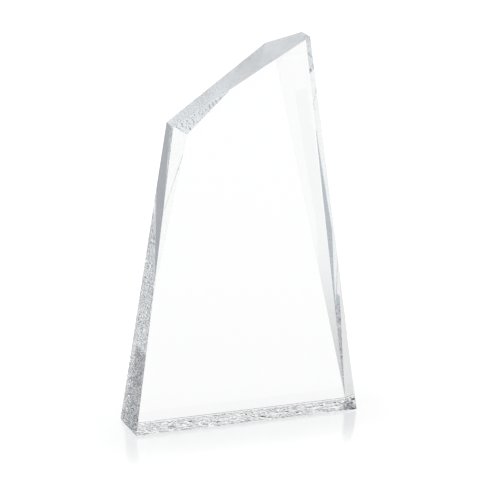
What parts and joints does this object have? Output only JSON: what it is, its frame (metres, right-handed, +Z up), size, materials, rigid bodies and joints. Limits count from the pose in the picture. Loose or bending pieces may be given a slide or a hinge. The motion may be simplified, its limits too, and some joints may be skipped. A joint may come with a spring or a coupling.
{
  "type": "crystal award",
  "caption": "Clear crystal award plaque: a thick upright slab with leaning sides, a slanted top and long tapered bevels on its back, on a rippled clear base layer.",
  "frame": {"origin": "on the resting plane, under the middle of the foot", "axes": "+Z up towards the peak, +X towards the high side, front face towards -Y"},
  "size_m": [0.1142, 0.0254, 0.191],
  "materials": {
    "polished_crystal": null,
    "rippled_crystal": "clear, hammered ripple on its underside",
    "clear_foot": "clear soft polyurethane, guessed"
  },
  "bodies": {
    "root": {"crystal_block": "polished_crystal", "textured_base_layer": "rippled_crystal", "foot_front_left": "clear_foot", "foot_front_right": "clear_foot", "foot_back_left": "clear_foot", "foot_back_right": "clear_foot"}
  },
  "joints": []
}
